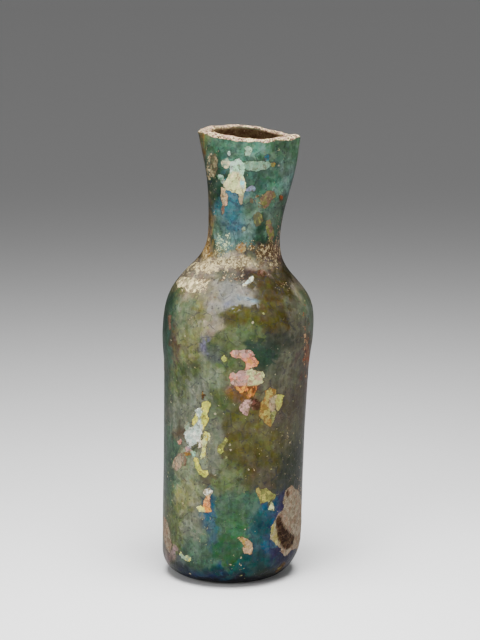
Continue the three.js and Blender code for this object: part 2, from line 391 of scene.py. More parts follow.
# Down the left of the body, the paler sage, khaki, sand and lichen tones are the film's colour with a painted
# sheen from the left light. Down the right, the darker bog, drab and moth tones are its colour with painted
# shade.
BODY_TONES = (
    ("laurel", 169, 305, 6, 14), ("sage", 184, 318, 7, 15), ("khaki", 197, 320, 7, 22),
    ("sand", 210, 322, 7, 12), ("olive", 240, 315, 22, 4), ("dark_olive", 262, 303, 7, 8),
    ("dark_olive", 276, 318, 14, 9), ("fern", 242, 333, 13, 6), ("slate", 215, 352, 4, 6),
    ("bog", 281, 342, 14, 10), ("dusk", 205, 345, 4, 6), ("fern", 216, 347, 5, 8),
    ("khaki", 190, 346, 8, 11), ("pine", 167, 340, 4, 22), ("earth", 175, 346, 3, 14),
    ("moth", 300, 330, 7, 20), ("grey_sage", 311, 312, 3, 14), ("fern", 230, 363, 10, 6),
    ("deep_pine", 265, 356, 8, 10), ("moth", 286, 374, 15, 16), ("russet", 307, 372, 3, 26),
    ("sage", 215, 376, 8, 9), ("fern", 180, 376, 10, 15), ("laurel", 168, 376, 4, 16),
    ("lichen", 196, 395, 11, 12), ("fern", 222, 398, 9, 13), ("bronze", 237, 392, 8, 7),
    ("drab", 286, 412, 15, 20), ("moth", 295, 425, 7, 18), ("drab", 301, 402, 6, 30),
    ("olive", 241, 424, 15, 12), ("lichen", 181, 414, 9, 15), ("laurel", 167, 440, 5, 20),
    ("earth", 180, 430, 6, 5), ("lichen", 215, 432, 7, 15), ("olive", 241, 446, 20, 12),
    ("dark_olive", 256, 461, 15, 12), ("olive", 276, 450, 11, 12), ("bog", 290, 462, 9, 20),
    ("bog", 301, 470, 4, 26), ("lichen", 212, 464, 7, 14), ("sage", 190, 470, 11, 10),
    ("laurel", 169, 482, 6, 15), ("thyme", 165, 460, 3, 22), ("fern", 230, 480, 14, 12),
    ("dark_olive", 245, 478, 6, 4), ("drab", 266, 476, 11, 9), ("bog", 281, 482, 8, 10),
    ("umber", 211, 480, 7, 4),
)
FOOT_TONES = (
    ("khaki", 184, 500, 11, 12), ("fern", 172, 522, 6, 25), ("lichen", 195, 516, 8, 15),
    ("thyme", 204, 541, 9, 14), ("laurel", 230, 500, 12, 10), ("pine", 250, 506, 10, 10),
    ("petrol", 213, 500, 3, 8), ("petrol", 206, 521, 5, 12), ("petrol", 212, 537, 4, 9),
    ("grass", 225, 525, 6, 14), ("green", 235, 537, 8, 13), ("grass", 241, 520, 7, 9),
    ("deep_teal", 262, 521, 8, 8), ("deep_teal", 256, 535, 7, 6), ("petrol", 268, 510, 7, 8),
    ("plum", 283, 500, 4, 14), ("midnight", 276, 521, 5, 10), ("petrol", 270, 545, 9, 9),
    ("deep_teal", 255, 560, 12, 8), ("plum", 281, 555, 7, 7), ("plum", 290, 562, 6, 5),
    ("green", 225, 556, 13, 8), ("moss", 214, 560, 8, 5), ("deep_teal", 220, 572, 20, 4),
    # The small cobalt and teal spots low on the foot are painted highlights, and the ink along its bottom
    # edge is painted shade.
    ("cobalt", 221, 565, 5, 3), ("teal", 240, 567, 12, 3), ("deep_teal", 250, 571, 14, 4),
    ("laurel", 195, 564, 8, 7), ("slate", 180, 565, 6, 4), ("midnight", 190, 573, 10, 5),
    ("navy", 212, 575, 12, 3), ("ink", 230, 582, 34, 4), ("bog", 271, 573, 14, 4),
    ("rosy", 168, 556, 3, 5),
)
TONES = NECK_TONES + SHOULDER_TONES + BODY_TONES + FOOT_TONES

# Leaves of crust: two colours that mix over each, its thickness in mm before LEAF_LIFT, and its outline.
NECK_LEAVES = (
    ("sand", "moth", 0.05, (
        (211, 156), (215, 154), (218, 160), (217, 169), (214, 179), (211, 175), (210, 165))),
    ("cream", "mist", 0.16, ((221, 161), (227, 158), (231, 162), (229, 167), (226, 169), (222, 166))),
    ("silver", "mint", 0.16, (
        (230, 162), (236, 160), (239, 158), (243, 163), (245, 168), (243, 176), (229, 178), (230, 170))),
    ("cream", "pale_lime", 0.18, (
        (230, 173), (236, 171), (241, 174), (245, 179), (246, 188), (244, 194), (238, 194), (230, 191),
        (225, 188), (223, 185), (226, 180))),
    # This aqua leaf is crust with a painted iridescent glint.
    ("aqua", "silver", 0.17, ((241, 179), (244, 181), (245, 187), (242, 190), (240, 185))),
    ("silver", "pale_jade", 0.12, ((217, 174), (223, 175), (225, 182), (222, 184), (219, 179))),
    ("mist", "pale_jade", 0.08, (
        (244, 162), (256, 161), (269, 162), (272, 165), (267, 169), (256, 171), (246, 170))),
    ("honey", "khaki", 0.10, ((271, 163), (274, 162), (276, 164), (274, 168), (271, 166))),
    ("cobalt", "lagoon", 0.04, ((264, 157), (268, 154), (270, 156), (268, 160), (264, 160))),
    ("mint", "mist", 0.12, (
        (244, 148), (248, 146), (252, 148), (252, 152), (248, 156), (244, 155), (246, 151))),
    ("mint", "silver", 0.06, ((227, 153), (229, 151), (231, 154), (229, 156))),
    ("lilac", "steel", 0.08, ((246, 189), (251, 185), (256, 188), (255, 191), (246, 192))),
    ("sand", "rose_beige", 0.10, (
        (221, 187), (225, 190), (228, 197), (227, 205), (223, 207), (221, 199))),
    ("rosy", "sand", 0.08, ((239, 196), (243, 196), (243, 201), (241, 205), (239, 201))),
    ("clay", "moth", 0.05, ((250, 198), (254, 199), (253, 204), (250, 203))),
    ("khaki", "clay", 0.08, (
        (263, 195), (268, 190), (275, 192), (276, 197), (271, 200), (269, 205), (264, 208), (261, 204),
        (260, 198))),
    ("rust", "umber", 0.06, ((279, 195), (283, 195), (283, 200), (280, 201))),
    ("grey_sage", "clay", 0.06, ((221, 207), (224, 206), (225, 212), (222, 215))),
    ("khaki", "moth", 0.12, (
        (254, 214), (258, 212), (262, 215), (263, 220), (260, 225), (256, 226), (253, 221))),
    ("clay", "khaki", 0.08, (
        (266, 221), (270, 219), (273, 228), (274, 238), (271, 242), (268, 236), (266, 228))),
    ("clay", "grey_sage", 0.05, ((241, 228), (245, 227), (246, 231), (242, 232))),
    ("honey", "sand", 0.08, ((237, 246), (241, 243), (246, 246), (246, 251), (240, 253), (236, 250))),
)
SHOULDER_LEAVES = (
    ("cream", "sand", 0.20, (
        (176, 282), (181, 277), (187, 277), (197, 279), (200, 285), (196, 293), (188, 293), (184, 287),
        (178, 288))),
    ("silver", "cream", 0.14, (
        (250, 277), (253, 276), (254, 281), (248, 284), (243, 287), (241, 285), (246, 281))),
    ("clay", "umber", 0.10, ((257, 271), (263, 269), (267, 273), (264, 277), (258, 276))),
)
MIDDLE_LEAVES = (
    ("coral", "rosy", 0.12, (
        (229, 351), (238, 350), (250, 350), (255, 354), (249, 358), (242, 359), (232, 357))),
    ("amber", "coral", 0.14, (
        (242, 358), (254, 357), (259, 362), (257, 366), (251, 368), (245, 370), (246, 365))),
    ("sand", "lime", 0.08, ((221, 358), (224, 355), (227, 358), (225, 362), (222, 361))),
    ("coral", "rosy", 0.18, (
        (229, 376), (232, 372), (236, 374), (240, 370), (247, 371), (249, 379), (246, 386), (236, 386),
        (231, 384))),
    ("rose_beige", "pale_lime", 0.18, (
        (246, 371), (252, 369), (257, 371), (262, 371), (265, 376), (262, 379), (264, 382), (258, 385),
        (247, 386), (249, 379))),
    ("amber", "bronze", 0.15, (
        (233, 386), (258, 386), (256, 392), (252, 398), (247, 400), (245, 397), (240, 393))),
    ("russet", "umber", 0.04, ((249, 397), (257, 399), (262, 404), (259, 410), (253, 410), (250, 403))),
    ("rosewood", "rosy", 0.14, (
        (247, 399), (252, 401), (251, 407), (247, 417), (242, 412), (238, 408), (240, 405))),
    ("straw", "ochre", 0.18, (
        (270, 387), (273, 389), (277, 390), (275, 395), (271, 407), (270, 418), (271, 427), (267, 425),
        (260, 417), (259, 412), (262, 402), (267, 394), (264, 393))),
    ("rose_beige", "sand", 0.18, (
        (270, 397), (277, 395), (278, 398), (275, 410), (272, 412), (269, 407))),
    ("lime", "straw", 0.18, (
        (275, 403), (277, 393), (279, 395), (286, 394), (283, 398), (282, 406), (277, 412))),
    ("pale_lime", "khaki", 0.14, ((271, 412), (276, 412), (275, 418), (273, 423), (271, 426))),
)
LEFT_LEAVES = (
    ("ochre", "umber", 0.08, ((201, 394), (203, 391), (205, 396), (202, 400))),
    ("lemon", "lime", 0.16, (
        (202, 403), (207, 401), (211, 404), (209, 409), (207, 414), (209, 419), (206, 425), (203, 430),
        (201, 424), (201, 415))),
    ("lemon", "pale_lime", 0.14, (
        (204, 431), (209, 433), (211, 438), (207, 441), (206, 448), (205, 456), (200, 460), (202, 450),
        (203, 440))),
    ("lemon", "lime", 0.12, (
        (193, 456), (198, 458), (199, 464), (202, 470), (206, 471), (208, 469), (208, 475), (205, 477),
        (199, 474), (196, 468))),
    ("lime", "lemon", 0.14, ((192, 421), (196, 413), (198, 418), (201, 424), (197, 428), (193, 426))),
    ("ivory", "silver", 0.20, (
        (194, 409), (200, 408), (203, 412), (200, 417), (202, 425), (202, 434), (199, 441), (194, 445),
        (190, 447), (186, 441), (184, 433), (189, 428), (194, 426), (199, 420), (197, 414))),
    ("mist", "sand", 0.06, ((186, 421), (189, 422), (190, 430), (186, 431), (184, 427))),
    ("ivory", "cream", 0.16, ((199, 441), (202, 440), (202, 447), (198, 448))),
    ("lilac", "rosy", 0.12, ((185, 447), (190, 446), (192, 450), (187, 452))),
    ("aqua", "mint", 0.12, ((191, 451), (196, 452), (195, 457), (192, 456))),
    ("peach", "honey", 0.10, ((184, 452), (190, 452), (191, 455), (185, 456))),
    ("coral", "rosy", 0.08, ((177, 441), (181, 439), (182, 443), (179, 445))),
    ("rose_beige", "stone", 0.14, (
        (183, 453), (179, 453), (174, 459), (172, 466), (176, 471), (181, 468), (183, 461))),
    ("sand", "clay", 0.12, ((184, 456), (187, 458), (186, 465), (183, 466))),
    ("lime", "khaki", 0.12, (
        (226, 437), (228, 440), (225, 446), (223, 449), (224, 452), (220, 454), (217, 451), (218, 446),
        (222, 443))),
)
FOOT_LEAVES = (
    ("ivory", "sand", 0.15, ((204, 489), (209, 488), (213, 491), (211, 495), (206, 496), (203, 493))),
    ("amber", "peach", 0.15, ((206, 496), (210, 496), (210, 505), (212, 513), (204, 512), (203, 505))),
    ("lemon", "pale_lime", 0.13, ((196, 507), (200, 505), (204, 507), (204, 512), (199, 512))),
    ("straw", "khaki", 0.15, (
        (258, 490), (264, 489), (266, 488), (270, 491), (276, 495), (275, 499), (269, 501), (265, 502),
        (261, 504), (259, 499))),
    ("ochre", "straw", 0.14, ((255, 489), (259, 488), (260, 493), (259, 499), (257, 494))),
    ("pale_lime", "moth", 0.13, ((268, 500), (272, 500), (274, 506), (275, 511), (268, 510), (269, 505))),
    ("rosewood", "stone", 0.24, (
        (284, 498), (285, 492), (289, 487), (292, 485), (295, 489), (299, 491), (301, 500), (302, 520),
        (301, 538), (298, 548), (291, 550), (288, 554), (285, 556), (282, 553), (280, 548), (275, 543),
        (270, 539), (271, 528), (275, 521), (277, 515), (281, 512), (285, 507), (283, 502))),
    ("umber", "bark", 0.02, (
        (276, 521), (279, 515), (282, 521), (285, 528), (290, 533), (294, 536), (293, 543), (289, 549),
        (284, 549), (280, 544), (277, 537))),
    ("umber", "bark", 0.05, ((286, 492), (288, 490), (289, 495), (287, 498))),
    ("straw", "sand", 0.22, (
        (271, 528), (274, 522), (276, 530), (277, 537), (280, 543), (278, 547), (274, 542), (270, 539))),
    ("ochre", "rose_beige", 0.15, (
        (237, 538), (242, 537), (248, 539), (252, 543), (253, 550), (251, 555), (244, 553), (243, 549),
        (244, 546), (241, 542))),
    ("lemon", "mist", 0.12, (
        (178, 552), (181, 552), (184, 556), (188, 555), (191, 558), (191, 562), (186, 561), (182, 558))),
    ("rosewood", "stone", 0.12, (
        (163, 515), (167, 520), (170, 534), (172, 545), (170, 553), (166, 548), (163, 535))),
)
EDGE_LEAVES = (
    ("russet", "clay", 0.05, ((168, 315), (171, 315), (171, 330), (169, 330))),
    ("rust", "clay", 0.08, ((306, 345), (309, 345), (309, 362), (306, 363))),
    ("khaki", "umber", 0.08, ((284, 562), (286, 563), (279, 571), (275, 573), (276, 570))),
)
LEAVES = (
    NECK_LEAVES + SHOULDER_LEAVES + MIDDLE_LEAVES
    + LEFT_LEAVES + FOOT_LEAVES + EDGE_LEAVES)

# Grains of crust lie thickest here: their colour, the pixel, how far they reach across and up, and how dense
# they are.
GRIT = (
    ("sand", 230, 262, 34, 8, 0.7), ("sand", 268, 264, 16, 4, 0.5), ("umber", 268, 252, 18, 11, 0.6),
    ("honey", 206, 246, 6, 24, 0.6), ("cream", 194, 284, 15, 7, 0.7), ("cream", 204, 267, 16, 7, 0.75),
    ("earth", 282, 284, 22, 9, 0.22), ("clay", 235, 278, 26, 6, 0.35), ("mint", 223, 244, 9, 11, 0.5),
    ("honey", 218, 252, 6, 6, 0.5), ("honey", 262, 200, 9, 8, 0.4), ("honey", 248, 247, 12, 8, 0.4),
    ("rosy", 280, 236, 6, 30, 0.3), ("rosy", 300, 520, 8, 40, 0.4), ("drab", 285, 440, 14, 60, 0.15),
    ("rust", 306, 350, 4, 40, 0.4), ("khaki", 199, 440, 14, 44, 0.2), ("khaki", 203, 520, 10, 30, 0.15),
    ("beige", 211, 168, 5, 20, 0.5),
)

# The side that the photograph doesn't show carries tones of the same kinds and fewer leaves. Tones: from this
# height to this one in mm, how many, and their colours. Leaves: the same, with their size before the colours.
BACK_TONES = (
    (118, 146, 16, ("moss", "pine", "sea", "grey_sage", "lagoon", "honey")),
    (98, 118, 14, ("pine", "mist", "honey", "sand", "umber", "stone")),
    (84, 100, 14, ("beige", "stone", "mist", "steel", "khaki", "dark_olive")),
    (20, 84, 44, ("sage", "khaki", "olive", "drab", "lichen", "moth", "grey_sage", "fern")),
    (0, 20, 20, ("cobalt", "teal", "plum", "grass", "slate", "petrol", "midnight", "moss")),
)
BACK_LEAVES = (
    (120, 140, 7, 2.2, (("cream", "mint"), ("silver", "beige"), ("peach", "rosy"))),
    (84, 100, 6, 2.6, (("cream", "rose_beige"), ("ivory", "mint"), ("rust", "rosy"))),
    (14, 82, 15, 3.4, (("lemon", "lime"), ("peach", "amber"), ("ivory", "silver"), ("rose_beige", "rosy"))),
)
BACK_LEAF_CORNERS = 9
BACK_LEAF_THICKNESS = 0.13
BACK_LEAST_RADIUS = 6
BACK_SEED = 11
BACK_BAND_HEIGHT = 100
BACK_BAND_REACH = 5
BACK_BAND_DENSITY = 0.6

# How all of this is laid: lengths are in mm, a warp and a shift in pixels, and the rest are factors.
TONE_SHARPNESS = 1.3
TONE_WARP = 5.0
PATCH_SHIFT = 13.0
WARP_SIZE = 5.0
WARP_FINE_SIZE = 1.8
PATCH_SIZE = 7.0
FOOT_SHADE = 0.5
FOOT_SHADE_HEIGHTS = (2, 22)
UPWARD_SHADE = 0.45
NO_LEAF = -9.0
LEAF_COLOUR_REACH = 2
LEAF_EDGE_FADE = 12
LEAF_STEP = 0.35
LEAF_LIFT = 0.6
LEAF_WANDER = 0.15
LEAST_GRIT = 0.02
GRIT_RELIEF = 0.10
LIP_CRUST_LOW = 146.8
LIP_CRUST_FADE = 0.8
LIP_CRUST_RELIEF = 0.1
WAVER = 0.05
WAVER_SIZE = 9.0
FLAT_BELOW = (0.3, 3)
NECK_BUSYNESS = 0.5
LEFT_BUSYNESS = 0.5


def linear(name):
    """A palette colour as amounts of linear light."""
    parts = np.array([int(PALETTE[name][i:i + 2], 16) / 255 for i in (0, 2, 4)])
    return np.where(parts <= 0.04045, parts / 12.92, ((parts + 0.055) / 1.055) ** 2.4)


def inside_distance(x, y, outline):
    """How far points lie inside an outline; negative outside it."""
    nearest = np.full(len(x), np.inf)
    inside = np.zeros(len(x), bool)
    for (ax, ay), (bx, by) in zip(outline, outline[1:] + outline[:1]):
        along = (x - ax) * (bx - ax) + (y - ay) * (by - ay)
        share = np.clip(along / ((bx - ax) ** 2 + (by - ay) ** 2), 0, 1)
        nearest = np.minimum(nearest, np.hypot(x - ax - share * (bx - ax), y - ay - share * (by - ay)))
        slope = (bx - ax) / (by - ay) if by != ay else 0
        inside ^= ((ay > y) != (by > y)) & (x < ax + (y - ay) * slope)
    return np.where(inside, nearest, -nearest)


def soft(values, low, high):
    """The same as smoothstep, for many points at once."""
    share = np.clip((values - low) / (high - low), 0, 1)
    return share * share * (3 - 2 * share)


def noises(size, seed=0.0):
    """One number between about -1 and 1 for each point, changing over this many mm."""
    return np.array([noise.noise(Vector(p) / size + Vector((seed, seed * 1.7, -seed))) for p in points])


# Where each point lies: in mm, in the picture's pixels, and round the back.
points = np.array([v.co for v in flask_shape.verts])
normals = np.array([v.normal for v in flask_shape.verts])
inside_shares = np.array([v[inside_share] for v in flask_shape.verts])
levels = np.array([v[level] for v in flask_shape.verts])
from_camera = points - np.array(camera.location) / MM
depth = from_camera @ np.array(away)
focal = CAMERA_DISTANCE / PIXEL
pixel_x = PICTURE[0] / 2 + focal * (from_camera @ np.array(to_right)) / depth
pixel_y = PICTURE[1] / 2 - focal * (from_camera @ np.array(to_up)) / depth
facing = -np.einsum("ij,ij->i", normals, from_camera) / np.linalg.norm(from_camera, axis=1)
upward = np.maximum(normals[:, 2], 0)
height = points[:, 2]
axis_x = np.array([lean_at(h) for h in height]) + centring.x
radius = np.hypot(points[:, 0] - axis_x, points[:, 1])
back_x = np.arctan2(points[:, 0] - axis_x, points[:, 1]) * np.maximum(radius, BACK_LEAST_RADIUS)


def blended(x, y, tones):
    """The mean of the tones round each place, weighed by how near they lie."""
    total = np.full(len(x), 1e-9)
    colour_sum = np.zeros((len(x), 3))
    for name, middle_x, middle_y, reach_x, reach_y in tones:
        far = ((x - middle_x) / reach_x) ** 2 + ((y - middle_y) / reach_y) ** 2
        weight = np.exp(-TONE_SHARPNESS * far)
        total += weight
        colour_sum += weight[:, None] * linear(name)
    return colour_sum / total[:, None]


# The film's tone at each point, with borders that wander, and with painted shade towards the foot and where
# the wall faces up. A second reading from further off gives the scraps of film that lie between.
warp_x = noises(WARP_SIZE, 3) + 0.5 * noises(WARP_FINE_SIZE, 5)
warp_y = noises(WARP_SIZE, 7) + 0.5 * noises(WARP_FINE_SIZE, 9)
chance = random.Random(BACK_SEED)
back_tones = []
for low, high, count, names in BACK_TONES:
    for i in range(count):
        reach = chance.uniform(4, 9)
        back_tones.append((
            chance.choice(names), chance.uniform(-60, 60), chance.uniform(low, high), reach,
            reach * chance.uniform(0.8, 1.8)))
on_front = soft(facing, -0.35, 0.0)[:, None]
# Painted shade: the film is darker towards the foot, and darker where the wall faces up under the top lamp.
foot_shade = (FOOT_SHADE + (1 - FOOT_SHADE) * soft(height, *FOOT_SHADE_HEIGHTS))[:, None]
foot_shade *= (1 - UPWARD_SHADE * upward)[:, None]


def film_over(shift_x, shift_y):
    """The film's tones, read this many pixels beside each point."""
    front = blended(pixel_x + shift_x, pixel_y + shift_y, TONES)
    behind_it = blended(back_x + shift_x * PIXEL / MM, height + shift_y * PIXEL / MM, back_tones)
    return (on_front * front + (1 - on_front) * behind_it) * foot_shade


film = film_over(TONE_WARP * warp_x, TONE_WARP * warp_y)
patch = film_over(PATCH_SHIFT * noises(PATCH_SIZE, 41), PATCH_SHIFT * noises(PATCH_SIZE, 43))

# Leaves: how far each point lies inside the nearest one, in mm, and that leaf's two colours and thickness.
leaf_inside = np.full(len(points), NO_LEAF)
leaf_first = np.tile(linear("beige"), (len(points), 1))
leaf_second = np.tile(linear("sand"), (len(points), 1))
leaf_height = np.zeros(len(points))


def lay_leaf(first, second, thickness, inside):
    """Gives a leaf's colours and thickness to the points that lie in it or near it."""
    taken = (inside > 0) | ((inside > leaf_inside) & (inside > -LEAF_COLOUR_REACH))
    leaf_first[taken] = linear(first)
    leaf_second[taken] = linear(second)
    leaf_height[taken] = thickness
    np.maximum(leaf_inside, inside, out=leaf_inside)


hidden = np.maximum(-facing, 0) * LEAF_EDGE_FADE
for first, second, thickness, outline in LEAVES:
    inside = inside_distance(pixel_x, pixel_y, outline) * PIXEL / MM - hidden
    lay_leaf(first, second, thickness, np.where(facing > -0.5, inside, NO_LEAF))
for low, high, count, size, pairs in BACK_LEAVES:
    for i in range(count):
        first, second = chance.choice(pairs)
        middle_x, middle_y = chance.uniform(-40, 40), chance.uniform(low, high)
        long, wide = size * chance.uniform(0.7, 1.4), size * chance.uniform(0.5, 0.9)
        outline = []
        for k in range(BACK_LEAF_CORNERS):
            turn = 2 * math.pi * (k + chance.uniform(0, 0.6)) / BACK_LEAF_CORNERS
            reach = chance.uniform(0.55, 1)
            across, up_by = wide * reach * math.cos(turn), long * reach * math.sin(turn)
            outline.append((middle_x + across, middle_y + up_by))
        inside = inside_distance(back_x, height, tuple(outline))
        lay_leaf(first, second, BACK_LEAF_THICKNESS, np.where(facing < 0.05, inside, NO_LEAF))

# Grains: how densely they lie at each point, and their mean colour, with painted shade where they face up. A
# band of them runs on round the back of the shoulder, and they cover the lip.
grit = np.zeros(len(points))
grit_weight = np.full(len(points), LEAST_GRIT)
grit_tone = LEAST_GRIT * np.tile(linear("beige"), (len(points), 1))
for name, middle_x, middle_y, reach_x, reach_y, density in GRIT:
    far = ((pixel_x - middle_x) / reach_x) ** 2 + ((pixel_y - middle_y) / reach_y) ** 2
    here = density * np.exp(-far) * soft(facing, -0.4, 0)
    grit = np.maximum(grit, here)
    grit_weight += here
    grit_tone += here[:, None] * linear(name)
grit_tone /= grit_weight[:, None]
# Painted shade: the grains are darker where they face up under the top lamp.
grit_tone *= (1 - 0.5 * UPWARD_SHADE * upward)[:, None]
off_band = (height - BACK_BAND_HEIGHT) / BACK_BAND_REACH
shoulder_band = np.exp(-off_band ** 2) * BACK_BAND_DENSITY * soft(-facing, -0.1, 0.3)
on_lip = soft(inside_shares, 1.01, 0.9)
lip_crust = soft(levels + 0.5 * warp_x, LIP_CRUST_LOW, LIP_CRUST_LOW + LIP_CRUST_FADE) * on_lip
deep_inside = soft(inside_shares, 0.6, 1.0)
grit = np.maximum(np.maximum(grit, shoulder_band), lip_crust)

# The relief of all this, in mm along the wall's outward normal. The flat ring that it stands on stays flat.
outer = 1 - deep_inside
ragged = leaf_inside + LEAF_WANDER * noises(1.3, 13)
relief = LEAF_LIFT * leaf_height * soft(ragged, 0, LEAF_STEP) * outer
relief += GRIT_RELIEF * grit * (noises(0.9, 21) + 0.6) * outer
relief += LIP_CRUST_RELIEF * lip_crust * noises(1.2, 25)
relief += WAVER * noises(WAVER_SIZE, 29) * outer
relief *= soft(height, *FLAT_BELOW)
for vertex, lift, normal in zip(flask_shape.verts, relief, normals):
    vertex.co += Vector(normal * lift)
bmesh.ops.scale(flask_shape, vec=(MM, MM, MM), verts=flask_shape.verts[:])
bmesh.ops.recalc_face_normals(flask_shape, faces=flask_shape.faces[:])
for face in flask_shape.faces:
    face.smooth = True

flask_mesh = bpy.data.meshes.new("flask_glass")
flask_shape.to_mesh(flask_mesh)
flask_shape.free()


def keep_numbers(name, values):
    """Writes one number on each point, for the shader."""
    flask_mesh.attributes.new(name, "FLOAT", "POINT").data.foreach_set("value", values.astype(np.float32))


def keep_colours(name, values):
    """Writes one colour on each point, for the shader."""
    four = np.concatenate([values, np.ones((len(values), 1))], axis=1).astype(np.float32)
    flask_mesh.attributes.new(name, "FLOAT_COLOR", "POINT").data.foreach_set("color", four.ravel())


# The film is busier on the neck and towards the left of the body.
busy_neck = NECK_BUSYNESS * soft(height, 98, 116)
busy_left = LEFT_BUSYNESS * soft(pixel_x, 215, 180) * soft(height, 90, 70)
keep_colours("film", film)
keep_colours("patch", patch)
keep_colours("leaf_first", leaf_first)
keep_colours("leaf_second", leaf_second)
keep_numbers("leaf_inside", leaf_inside)
keep_numbers("grit", grit)
keep_colours("grit_tone", grit_tone)
keep_numbers("lip_crust", lip_crust)
keep_numbers("inside_wall", deep_inside)
keep_numbers("busy", 1.0 + busy_neck + busy_left)

# The shader sharpens all this below the mesh's own size: ragged borders, cracks, grains, flecks and streaks.
# Its sizes are in mm, and a place only picks another part of the same pattern.
SHAKE_SIZE = 0.8
SHAKE = 0.45

glass = bpy.data.materials.new("weathered_glass")
glass.use_nodes = True
tree = glass.node_tree
shader = tree.nodes["Principled BSDF"]


def put(socket, value):
    """Links a node's output to this socket, or sets a plain value on it."""
    if isinstance(value, bpy.types.NodeSocket):
        tree.links.new(value, socket)
    else:
        socket.default_value = value


def add(kind, inputs, output=0, **settings):
    """Adds a node with these settings and inputs, and returns one of its outputs."""
    made = tree.nodes.new(kind)
    for name, setting in settings.items():
        setattr(made, name, setting)
    for key, value in inputs.items():
        put(made.inputs[key], value)
    return made.outputs[output]


def calc(operation, first, second=0.0):
    return add("ShaderNodeMath", {0: first, 1: second}, operation=operation)


def product(*factors):
    """All of these multiplied together."""
    result = factors[0]
    for factor in factors[1:]:
        result = calc("MULTIPLY", result, factor)
    return result


def weighed(first, first_weight, second, second_weight):
    """The sum of two inputs, each with its weight."""
    return calc("ADD", product(first, first_weight), product(second, second_weight))


def swing(value, amount):
    """This amount of a value that lies around a half, moved to lie around 0."""
    return product(calc("SUBTRACT", value, 0.5), amount)


def mixed(share, under, over):
    """One colour with this share of another over it."""
    return add("ShaderNodeMix", {0: share, 6: under, 7: over}, 2, data_type="RGBA")


def between(share, start, end):
    return add("ShaderNodeMix", {0: share, 2: start, 3: end}, data_type="FLOAT")


def ramp(value, low, high, start=0.0, end=1.0):
    """A smooth step that is start up to low and end from high on."""
    inputs = {"Value": value, "From Min": low, "From Max": high, "To Min": start, "To Max": end}
    return add("ShaderNodeMapRange", inputs, interpolation_type="SMOOTHSTEP")


def cloud(size, detail=2, place=(0, 0, 0), stretch=(1, 1, 1), output=0):
    """Noise whose lumps are this many mm across."""
    moved = add("ShaderNodeMapping", {0: in_mm, 1: place, 3: stretch})
    return add("ShaderNodeTexNoise", {"Vector": moved, "Scale": 1 / size, "Detail": detail}, output)


def cells(size, place, output=0, feature="F1"):
    """Angular cells this many mm across, with ragged borders."""
    moved = add("ShaderNodeMapping", {0: ragged_mm, 1: place})
    return add("ShaderNodeTexVoronoi", {"Vector": moved, "Scale": 1 / size}, output, feature=feature)


def cell_numbers(size, place):
    """Three numbers from 0 to 1 that differ from cell to cell."""
    return add("ShaderNodeSeparateColor", {0: cells(size, place, output=1)}).node.outputs[:]


def gaps(size, place, width):
    """1 along the borders between cells of this size, and 0 away from them."""
    return ramp(cells(size, place, feature="DISTANCE_TO_EDGE"), 0.0, width, 1, 0)


def kept_colour(name):
    return add("ShaderNodeAttribute", {}, 0, attribute_name=name)


def kept_number(name):
    return add("ShaderNodeAttribute", {}, 2, attribute_name=name)


def colour(name):
    return tuple(linear(name)) + (1.0,)


place_in_metres = add("ShaderNodeTexCoord", {}, 3)
in_mm = add("ShaderNodeVectorMath", {0: place_in_metres, "Scale": 1 / MM}, operation="SCALE")
shake = add("ShaderNodeVectorMath", {0: cloud(SHAKE_SIZE, 3, output=1), "Scale": SHAKE}, operation="SCALE")
ragged_mm = add("ShaderNodeVectorMath", {0: in_mm, 1: shake}, operation="ADD")

# The bare film: its tone, in scraps of film with crisp borders, faintly mottled and streaked. It carries
# painted shade where the eye meets it at a low angle, and it has dark pits and fissures.
FILM_GAIN = 0.54
SCRAP_EDGE = 0.532
SCRAP_BORDER = 0.008
EDGE_ANGLES = (0.35, 0.85)
EDGE_GAIN = 0.4
MOTTLE_SWING = 0.06
STREAK_STRETCH = (1, 1, 0.1)
STREAK_SWING = 0.12
PIT_SIZE = 1.5
FISSURE_SIZE = 4.5
FISSURE_WIDTH = 0.045
PIT_DARKNESS = 0.6


def scraps(size, place, change):
    """A factor that jumps by this change inside ragged scraps that cover two fifths of the film."""
    lumps = cloud(size, 4, place)
    return ramp(lumps, SCRAP_EDGE - SCRAP_BORDER, SCRAP_EDGE + SCRAP_BORDER, 1, 1 + change)


def flakes(size, place, low, high, number=0):
    """A factor of its own, between low and high, for each angular flake of this size."""
    return ramp(cell_numbers(size, place)[number], 0, 1, low, high)


patches = ramp(weighed(flakes(1.9, (2, 7, 0), 0, 1), 0.3, cloud(4.4, 3), 0.7), 0.5, 0.51)
film_tone = mixed(patches, kept_colour("film"), kept_colour("patch"))
value = product(
    scraps(6, (0, 0, 0), 0.18), scraps(3.2, (40, 0, 0), -0.18), flakes(1.0, (0, 7, 0), 0.92, 1.08),
    flakes(2.4, (0, 0, 9), 0.92, 1.1), flakes(5.0, (4, 0, 9), 0.9, 1.1))
value = calc("POWER", value, kept_number("busy"))
# Painted shade towards the outline, where the eye meets the wall at a low angle.
grazing = add("ShaderNodeLayerWeight", {"Blend": 0.5}, 1)
edge_shade = ramp(grazing, *EDGE_ANGLES, 1.0, EDGE_GAIN)
mottle = weighed(cloud(2.6, 3), 0.5, cloud(0.5, 2), 0.5)
mottling = ramp(mottle, 0.3, 0.7, (1 - MOTTLE_SWING) * FILM_GAIN, (1 + MOTTLE_SWING) * FILM_GAIN)
streaks = ramp(cloud(1.1, 2, (9, 0, 0), STREAK_STRETCH), 0.3, 0.7, 1 - STREAK_SWING, 1 + STREAK_SWING)
value = product(value, edge_shade, mottling, streaks)
hue = product(
    scraps(4.4, (5, 5, 0), 0.05), scraps(2.1, (5, 0, 5), -0.05), flakes(2.4, (0, 0, 9), 0.485, 0.515, 1))
saturation = product(scraps(2.9, (15, 5, 0), -0.2), flakes(1.6, (6, 0, 9), 0.84, 1.08))
film_colour = add("ShaderNodeHueSaturation", {
    "Hue": hue, "Saturation": saturation, "Value": value, "Color": film_tone})
